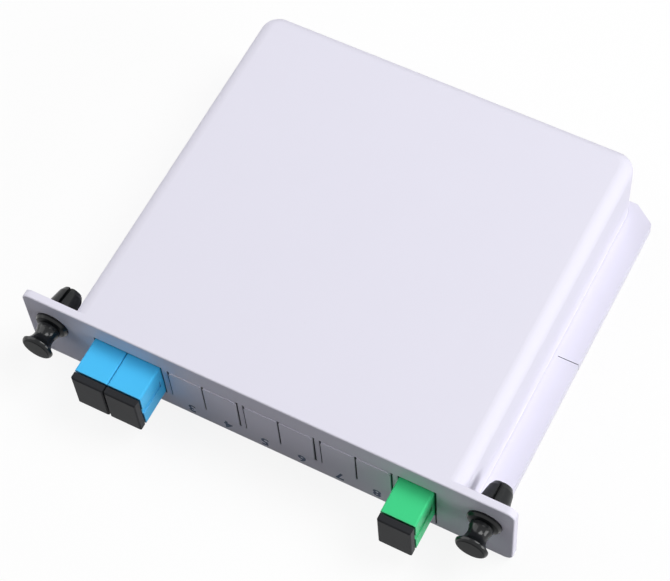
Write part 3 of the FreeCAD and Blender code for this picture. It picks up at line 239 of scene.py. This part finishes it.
# ---------------------------------------------------------------- finishes


def shaded(colour: Colour, factor: float) -> Colour:
    """Return a colour made lighter or darker by a factor, kept within 0 and 1."""
    return tuple(min(1.0, max(0.0, part * factor)) for part in colour)


@dataclass(frozen=True)
class Finish(ABC):
    """What all finishes share: a name, a colour, a roughness and the strength of reflections."""

    name: str
    colour: Colour
    roughness: float
    shine: float = 0.5

    def material(self) -> bpy.types.Material:
        """Make the material and return it."""
        material = bpy.data.materials.new(self.name)
        graph = Graph(material)
        inputs = {"Specular IOR Level": self.shine, **self.sockets(graph)}
        graph.show("ShaderNodeOutputMaterial", graph.shader("ShaderNodeBsdfPrincipled", inputs))
        return material

    @abstractmethod
    def sockets(self, graph: Graph) -> dict[str | int, Any]:
        """Return what goes into the shader's sockets."""

    def clouded(self, graph: Graph, cloud: Signal, share: float) -> Signal:
        """Return the colour, darker by a share where cloud is 0 and lighter where it is 1."""
        return graph.blend(cloud, shaded(self.colour, 1 - share), shaded(self.colour, 1 + share))


@dataclass(frozen=True)
class Moulding(Finish):
    """Moulded plastic: fine grain, clouded colour and gloss, and soft edges.

    It can also have small dark specks, painted shade deep in narrow gaps and concave corners, and
    painted highlights along edges; each one's strength says how strong it is, and 0 leaves it out.
    Specks lie in cells: their radius is a share of a cell, and only the cells whose random number
    exceeds speck_free have one.
    """

    grain: float = 0.35 * MM
    depth: float = 0.004 * MM
    cloud: float = 0.02
    cloud_size: float = 18 * MM
    cloud_gloss: float = 0.06
    grain_gloss: float = 0.04
    speck: float = 0.0
    speck_cell: float = 11 * MM
    speck_radius: float = 0.016
    speck_free: float = 0.72
    speck_tone: float = 0.45
    edge: float = 0.15 * MM
    # Painted shade in gaps: strength, reach of the occlusion test, openness range and near-black
    # tone.
    shade: float = 0.0
    shade_reach: float = 1.5 * MM
    shade_openness: Span = (0.15, 0.62)
    shade_tone: float = 0.04
    # Painted highlight along edges: strength, and how far towards white the colour goes there.
    rub: float = 0.0
    rub_white: float = 0.45

    def sockets(self, graph: Graph) -> dict[str | int, Any]:
        """Return sockets with the grain in the normal and the clouds in colour and gloss."""
        cloud = graph.noise(self.cloud_size, detail=3.0)
        colour = self.clouded(graph, cloud, self.cloud)
        if self.speck:
            distance, lot = graph.cells(self.speck_cell)
            mask = (distance < self.speck_radius) * (lot > self.speck_free)
            colour = graph.blend(mask * self.speck, colour, shaded(self.colour, self.speck_tone))
        # Painted shade: the colour darkens towards a near-black copy of itself deep in narrow gaps,
        # slits and concave corners, where occlusion is high.
        if self.shade:
            painted_shade_mask = 1 - graph.openness(self.shade_reach).ramp(*self.shade_openness)
            colour = graph.blend(painted_shade_mask * self.shade, colour, shaded(self.colour, self.shade_tone))
        # Painted highlight: the colour turns paler along edges, standing in for the light that
        # rounded edges catch.
        if self.rub:
            highlight_colour = tuple(self.rub_white + (1 - self.rub_white) * part for part in self.colour)
            colour = graph.blend(graph.edges(self.edge) * self.rub, colour, highlight_colour)
        grain = graph.noise(self.grain)
        middle = self.roughness - (self.cloud_gloss + self.grain_gloss) / 2
        gloss = middle + self.cloud_gloss * cloud + self.grain_gloss * grain
        normal = graph.relief(grain, self.depth, graph.soft_edges(self.edge))
        return {"Base Color": colour, "Roughness": gloss, "Normal": normal}


@dataclass(frozen=True)
class PolishedNylon(Finish):
    """Dark nylon with polished flanks and a matt end that faces the front."""

    polish: float = 0.55
    polish_roughness: float = 0.16
    front: Triple = (0.0, -1.0, 0.0)
    cloud: float = 0.15
    cloud_size: float = 4 * MM
    cloud_gloss: float = 0.08
    skin: float = 0.6 * MM
    depth: float = 0.003 * MM
    edge: float = 0.12 * MM

    def sockets(self, graph: Graph) -> dict[str | int, Any]:
        """Return sockets with the polish as a coat that the flat end lacks."""
        cloud = graph.noise(self.cloud_size, detail=3.0)
        skin = graph.noise(self.skin)
        end = graph.facing(self.front)
        return {"Base Color": self.clouded(graph, cloud, self.cloud),
                "Roughness": self.roughness + self.cloud_gloss * cloud,
                "Coat Weight": self.polish - self.polish * end,
                "Coat Roughness": self.polish_roughness,
                "Normal": graph.relief(skin, self.depth, graph.soft_edges(self.edge))}


@dataclass(frozen=True)
class Metal(Finish):
    """Drawn or turned metal with fine scratches along one axis."""

    lay: Triple = (1.0, 12.0, 12.0)
    scratch: float = 0.6 * MM
    scratch_gloss: float = 0.16
    depth: float = 0.002 * MM
    stain: float = 6 * MM
    stain_tones: Span = (0.9, 1.06)

    def sockets(self, graph: Graph) -> dict[str | int, Any]:
        """Return sockets with the scratches in gloss and normal."""
        scratches = graph.noise(self.scratch, detail=4.0, vector=graph.stretched(self.lay))
        dark, light = (shaded(self.colour, tone) for tone in self.stain_tones)
        middle = self.roughness - self.scratch_gloss / 2
        return {"Base Color": graph.blend(graph.noise(self.stain), dark, light), "Metallic": 1.0,
                "Roughness": middle + self.scratch_gloss * scratches,
                "Normal": graph.relief(scratches, self.depth)}


@dataclass(frozen=True)
class Elastomer(Finish):
    """Soft rubber: matt, slightly blotched, with a fine orange-peel skin."""

    bloom: float = 0.12
    bloom_size: float = 3 * MM
    bloom_gloss: float = 0.08
    skin: float = 0.25 * MM
    depth: float = 0.008 * MM

    def sockets(self, graph: Graph) -> dict[str | int, Any]:
        """Return sockets with the skin in the normal and bloom in the colour."""
        bloom = graph.noise(self.bloom_size, detail=4.0)
        return {"Base Color": self.clouded(graph, bloom, self.bloom),
                "Roughness": self.roughness + self.bloom_gloss * bloom,
                "Normal": graph.relief(graph.noise(self.skin), self.depth)}


@dataclass(frozen=True)
class FoamTape(Finish):
    """Closed-cell foam with small dark pores, whose rims are given in shares of a cell."""

    cell: float = 0.5 * MM
    pore_rim: Span = (0.15, 0.5)
    pore_tone: float = 0.7
    depth: float = 0.05 * MM

    def sockets(self, graph: Graph) -> dict[str | int, Any]:
        """Return sockets with the pores in colour and normal."""
        distance, _ = graph.cells(self.cell)
        pore = 1 - distance.ramp(*self.pore_rim)
        colour = graph.blend(pore, self.colour, shaded(self.colour, self.pore_tone))
        return {"Base Color": colour, "Roughness": self.roughness,
                "Normal": graph.relief(1 - pore, self.depth)}


@dataclass(frozen=True)
class PrintInk(Finish):
    """Pad-printed ink: a thin film with slightly uneven cover."""

    patch: float = 0.5 * MM
    patch_rim: Span = (0.52, 0.72)
    patch_tone: float = 1.7
    patch_gloss: float = 0.1

    def sockets(self, graph: Graph) -> dict[str | int, Any]:
        """Return sockets with lighter patches where the film is thin."""
        thin = graph.noise(self.patch, detail=3.0).ramp(*self.patch_rim)
        colour = graph.blend(thin, self.colour, shaded(self.colour, self.patch_tone))
        return {"Base Color": colour, "Roughness": self.roughness + self.patch_gloss * thin}


# The shell and the adapters have painted shade in their gaps; the adapters also have painted
# highlights along their edges.
SHELL_WHITE = Moulding(
    "white_shell", (0.784, 0.769, 0.874), roughness=0.52, shine=0.18, grain=0.3 * MM,
    depth=0.003 * MM, cloud=0.006, speck=0.2, edge=0.03 * MM, shade=0.9)
ADAPTER_BLUE = Moulding(
    "adapter_blue", (0.068, 0.528, 0.940), roughness=0.42, shine=0.12, grain=0.25 * MM,
    depth=0.002 * MM, cloud=0.03, edge=0.3 * MM, shade=0.6, rub=0.35)
ADAPTER_GREEN = Moulding(
    "adapter_green", (0.053, 0.638, 0.247), roughness=0.42, shine=0.12, grain=0.25 * MM,
    depth=0.002 * MM, cloud=0.03, edge=0.3 * MM, shade=0.6, rub=0.35)
CAP_CHARCOAL = Moulding(
    "charcoal", (0.025, 0.026, 0.029), roughness=0.42, shine=0.05, grain=0.3 * MM,
    depth=0.008 * MM, cloud=0.08)
LATCH_BLACK = PolishedNylon("black_nylon", (0.006, 0.007, 0.008), roughness=0.34, shine=0.05)
NYLON_WHITE = Moulding("white_nylon", (0.82, 0.82, 0.78), roughness=0.4)
CERAMIC = Moulding("zirconia", (0.88, 0.88, 0.85), roughness=0.12, grain=0.1 * MM,
                   depth=0.0005 * MM)
STEEL = Metal("steel", (0.60, 0.61, 0.62), roughness=0.3)
NICKEL = Metal("nickel", (0.70, 0.68, 0.62), roughness=0.26, lay=(12.0, 1.0, 12.0))
PLUG_BLUE = Moulding("plug_blue", (0.050, 0.320, 0.720), roughness=0.36)
PLUG_GREEN = Moulding("plug_green", (0.040, 0.480, 0.180), roughness=0.36)
BOOT_BLUE = Elastomer("boot_blue", (0.030, 0.230, 0.560), roughness=0.62)
BOOT_GREEN = Elastomer("boot_green", (0.030, 0.360, 0.130), roughness=0.62)
BUFFER = Moulding("fibre_buffer", (0.86, 0.85, 0.76), roughness=0.38, grain=0.2 * MM, cloud=0.05)
BLACK_RUBBER = Elastomer("black_rubber", (0.03, 0.03, 0.03), roughness=0.66)
FOAM = FoamTape("foam", (0.80, 0.80, 0.79), roughness=0.85)
NUMBER_INK = PrintInk("number_ink", (0.045, 0.070, 0.125), roughness=0.6, shine=0.2)

ALL_FINISHES: tuple[Finish, ...] = (
    SHELL_WHITE, ADAPTER_BLUE, ADAPTER_GREEN, CAP_CHARCOAL, LATCH_BLACK, NYLON_WHITE, CERAMIC,
    STEEL, NICKEL, PLUG_BLUE, PLUG_GREEN, BOOT_BLUE, BOOT_GREEN, BUFFER, BLACK_RUBBER, FOAM,
    NUMBER_INK)


class Wardrobe:
    """Makes each finish once and puts it on nodes and pieces."""

    def __init__(self, nodes: Mapping[str, bpy.types.Object]) -> None:
        """Make the materials for the given CAD nodes."""
        self.nodes = nodes
        self.materials = {finish.name: finish.material() for finish in ALL_FINISHES}

    def dress(self, node: str, finish: Finish) -> None:
        """Put a finish on a CAD node."""
        self.dress_piece(self.nodes[node], finish)
        LOG.info("node %s: %s", node, finish.name)

    def dress_piece(self, item: bpy.types.Object, finish: Finish) -> None:
        """Put a finish in all the item's material slots, or in a new one if it has none."""
        slots = item.data.materials
        if not slots:
            slots.append(None)
        for index in range(len(slots)):
            slots[index] = self.materials[finish.name]


# ---------------------------------------------------------------- meshes


LETTER_CURVE_STEPS = 8
# How far a letter's outline moves outwards, as a share of its size; from 0.035 loops fill wrongly.
LETTER_BOLDNESS = 0.03


def mesh_piece(name: str, points: np.ndarray,
               faces: Sequence[Sequence[int]]) -> bpy.types.Object:
    """Make a flat-shaded object at the origin from points and faces.

    Args:
        name: Name of the piece.
        points: Array of shape (count, 3), in metres.
        faces: Point numbers of each face, counter-clockwise from outside.

    Returns:
        The new object, linked to the scene.
    """
    mesh = bpy.data.meshes.new(name)
    mesh.from_pydata(points.tolist(), [], [list(face) for face in faces])
    mesh.shade_flat()
    mesh.update()
    piece = bpy.data.objects.new(name, mesh)
    bpy.context.scene.collection.objects.link(piece)
    return piece


def text_solid(text: str) -> tuple[np.ndarray, list[list[int]]]:
    """Return the points and faces of a character as a solid one unit thick.

    The outline is centred on the origin and one unit tall; the third coordinate runs from -0.5
    to 0.5.
    """
    curve = bpy.data.curves.new("lettering", "FONT")
    curve.body = text
    curve.extrude = 0.5
    curve.offset = LETTER_BOLDNESS
    curve.resolution_u = LETTER_CURVE_STEPS
    holder = bpy.data.objects.new("lettering", curve)
    bpy.context.scene.collection.objects.link(holder)
    bpy.context.view_layer.update()
    mesh = bpy.data.meshes.new_from_object(holder)
    points = np.array([vertex.co for vertex in mesh.vertices])
    faces = [list(polygon.vertices) for polygon in mesh.polygons]
    low, high = points.min(axis=0), points.max(axis=0)
    points[:, :2] = (points[:, :2] - (low[:2] + high[:2]) / 2) / (high[1] - low[1])
    bpy.data.objects.remove(holder)
    bpy.data.meshes.remove(mesh)
    bpy.data.curves.remove(curve)
    return points, faces


# ---------------------------------------------------------------- sub-assemblies


@dataclass
class Shell:
    """The white moulded case: housing, bottom cover, its screws and the printed numbers."""

    wardrobe: Wardrobe
    first_number: int = 3
    last_number: int = 8
    first_x: float = -20.4 * MM
    number_pitch: float = 10.04 * MM
    number_height: float = 3.25 * MM
    number_tall: float = 3.4 * MM
    film: float = 0.03 * MM
    panel_thickness: float = 2.0 * MM
    box_depth: float = 98.0 * MM

    def build_numbers(self) -> None:
        """Print the position numbers upside down along the foot of the panel, as one piece.

        A point (u, v, w) of a character goes to x = centre - tall * u, y = face - film * w and
        z = height - tall * v, which turns the character by half a turn.
        """
        face = -self.box_depth / 2 - self.panel_thickness
        points: list[np.ndarray] = []
        faces: list[list[int]] = []
        for index, number in enumerate(range(self.first_number, self.last_number + 1)):
            flat, outline = text_solid(str(number))
            centre = self.first_x + index * self.number_pitch
            placed = np.column_stack((centre - self.number_tall * flat[:, 0],
                                      face - self.film * flat[:, 2],
                                      self.number_height - self.number_tall * flat[:, 1]))
            offset = sum(len(part) for part in points)
            faces += [[corner + offset for corner in corners] for corners in outline]
            points.append(placed)
        piece = mesh_piece("port_numbers", np.concatenate(points), faces)
        self.wardrobe.dress_piece(piece, NUMBER_INK)
        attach(piece, CASSETTE)
        LOG.info("piece %s: %d to %d", piece.name, self.first_number, self.last_number)

    def dress(self) -> None:
        """Put finishes on the case and its screws."""
        self.wardrobe.dress("housing", SHELL_WHITE)
        self.wardrobe.dress("bottom_cover", SHELL_WHITE)
        self.wardrobe.dress("cover_screws", STEEL)


class Polish(Enum):
    """Connector types, told apart by colour: flat-polished blue and angle-polished green."""

    FLAT = "blue"
    ANGLED = "green"


@dataclass
class OpticalChannel:
    """One adapter with its dust cap in front and its plug behind."""

    wardrobe: Wardrobe
    name: str
    polish: Polish

    def dress(self) -> None:
        """Put finishes on every piece of the channel."""
        if self.polish is Polish.FLAT:
            adapter, plug, boot = ADAPTER_BLUE, PLUG_BLUE, BOOT_BLUE
        else:
            adapter, plug, boot = ADAPTER_GREEN, PLUG_GREEN, BOOT_GREEN
        finishes: dict[str, Finish] = {
            "adapter_body": adapter, "dust_cap": CAP_CHARCOAL, "sleeve_holder": NYLON_WHITE,
            "split_sleeve": CERAMIC, "plug_shell": plug, "plug_frame": NYLON_WHITE,
            "ferrule": CERAMIC, "ferrule_spring": STEEL, "plug_collar": NICKEL, "plug_boot": boot,
            "fibre": BUFFER}
        for piece, finish in finishes.items():
            self.wardrobe.dress(f"{piece}_{self.name}", finish)


@dataclass
class SplitterModule:
    """The steel splitter body with its end boots and tape."""

    wardrobe: Wardrobe

    def dress(self) -> None:
        """Put finishes on the module, its boots and its tape."""
        self.wardrobe.dress("splitter_module", STEEL)
        self.wardrobe.dress("module_boot_output", BLACK_RUBBER)
        self.wardrobe.dress("module_boot_input", BLACK_RUBBER)
        self.wardrobe.dress("module_pad", FOAM)


class Side(Enum):
    """The two ends of the panel."""

    LEFT = "left"
    RIGHT = "right"


@dataclass
class PushLatch:
    """A push-pull latch: slit grommet and plunger."""

    wardrobe: Wardrobe
    side: Side

    def dress(self) -> None:
        """Put the finish on grommet and plunger."""
        self.wardrobe.dress(f"grommet_{self.side.value}", LATCH_BLACK)
        self.wardrobe.dress(f"plunger_{self.side.value}", LATCH_BLACK)


# ---------------------------------------------------------------- studio


@dataclass(frozen=True)
class Softbox:
    """A square lamp that faces a point."""

    name: str
    direction: Triple
    size: float
    level: float
    distance: float = 1.10

    def build(self, target: Vector) -> None:
        """Hang the lamp.

        The level is how bright a white surface at the target looks when it faces the lamp: the
        power is pi * pi * distance * distance * level.

        Args:
            target: The point that the lamp faces.
        """
        lamp = bpy.data.lights.new(self.name, "AREA")
        lamp.shape = "SQUARE"
        lamp.size = self.size
        lamp.energy = math.pi ** 2 * self.distance ** 2 * self.level
        toward = Vector(self.direction).normalized()
        item = bpy.data.objects.new(self.name, lamp)
        item.matrix_world = (Matrix.Translation(target + toward * self.distance)
                             @ toward.to_track_quat("Z", "Y").to_matrix().to_4x4())
        bpy.context.scene.collection.objects.link(item)


@dataclass
class Studio:
    """Camera, lamps, floor and surroundings."""

    camera_place: Triple = (0.135157, -0.224182, 0.460041)
    camera_target: Triple = (-0.001720, -0.011259, 0.012500)
    camera_roll: float = math.radians(-5.811)
    lens: float = 113.49
    sensor_width: float = 36.0
    clip: Span = (0.01, 20.0)
    floor_half: float = 3.0
    floor_drop: float = 0.1 * MM
    floor_paper: Colour = (0.95, 0.95, 0.95)
    floor_matt: Colour = (0.150, 0.150, 0.175)
    shadow_share: float = 0.12
    ambient: float = 0.03
    lamp_target: Triple = (0.0, 0.0, 12.5 * MM)
    lamps: tuple[Softbox, ...] = field(default_factory=lambda: (
        Softbox("high_softbox", (0.497, 0.287, 0.819), size=0.60, level=0.69),
        Softbox("right_softbox", (0.985, -0.070, 0.156), size=0.70, level=0.78),
        Softbox("left_softbox", (-0.766, 0.0, 0.643), size=1.20, level=0.66),
        Softbox("front_fill", (-0.897, -0.419, 0.139), size=0.70, level=0.10)))

    def build_camera(self) -> None:
        """Set the camera on its stand: aim it at the target and then turn it about its view."""
        camera = bpy.data.cameras.new("camera")
        camera.lens = self.lens
        camera.sensor_width = self.sensor_width
        camera.clip_start, camera.clip_end = self.clip
        item = bpy.data.objects.new("camera", camera)
        back = Vector(self.camera_place) - Vector(self.camera_target)
        level = back.to_track_quat("Z", "Y").to_matrix().to_4x4()
        item.matrix_world = (Matrix.Translation(self.camera_place) @ level
                             @ Matrix.Rotation(self.camera_roll, 4, "Z"))
        bpy.context.scene.collection.objects.link(item)
        bpy.context.scene.camera = item

    def build_floor(self) -> None:
        """Lay a white floor that keeps a soft shadow and gives little light back."""
        half, level = self.floor_half, -self.floor_drop
        corners = np.array([(-half, -half, level), (half, -half, level),
                            (half, half, level), (-half, half, level)])
        floor = mesh_piece("floor", corners, [(0, 1, 2, 3)])
        material = bpy.data.materials.new("floor_paper")
        graph = Graph(material)
        matt = graph.shader("ShaderNodeBsdfDiffuse", {"Color": self.floor_matt})
        paper = graph.shader("ShaderNodeBsdfDiffuse", {"Color": self.floor_paper})
        glow = graph.shader("ShaderNodeEmission", {"Color": WHITE, "Strength": 1.0})
        shown = graph.shader("ShaderNodeMixShader", {0: 1 - self.shadow_share, 1: paper, 2: glow})
        mixed = graph.shader("ShaderNodeMixShader", {0: graph.seen(), 1: matt, 2: shown})
        graph.show("ShaderNodeOutputMaterial", mixed)
        floor.data.materials.append(material)

    def build_world(self) -> None:
        """Surround the set with white that the lens sees and a low even light."""
        world = bpy.data.worlds.new("surroundings")
        bpy.context.scene.world = world
        graph = Graph(world)
        strength = self.ambient + (1 - self.ambient) * graph.seen()
        shader = graph.shader("ShaderNodeBackground", {"Color": WHITE, "Strength": strength})
        graph.show("ShaderNodeOutputWorld", shader)

    def build(self) -> None:
        """Set up the whole studio."""
        bpy.context.scene.view_settings.view_transform = "Standard"
        self.build_camera()
        self.build_floor()
        self.build_world()
        for lamp in self.lamps:
            lamp.build(Vector(self.lamp_target))
            LOG.info("lamp %s", lamp.name)


# ---------------------------------------------------------------- assembly


def main() -> None:
    """Load the frame, dress its nodes, add the printed numbers and set up the studio."""
    logging.basicConfig(level=logging.INFO, format="%(name)s %(message)s")
    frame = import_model()
    wardrobe = Wardrobe(frame["nodes"])
    Studio().build()
    shell = Shell(wardrobe)
    shell.dress()
    shell.build_numbers()
    for name, polish in (("output_1", Polish.FLAT), ("output_2", Polish.FLAT),
                         ("input", Polish.ANGLED)):
        OpticalChannel(wardrobe, name, polish).dress()
    SplitterModule(wardrobe).dress()
    for side in Side:
        PushLatch(wardrobe, side).dress()


if __name__ == "__main__":
    main()
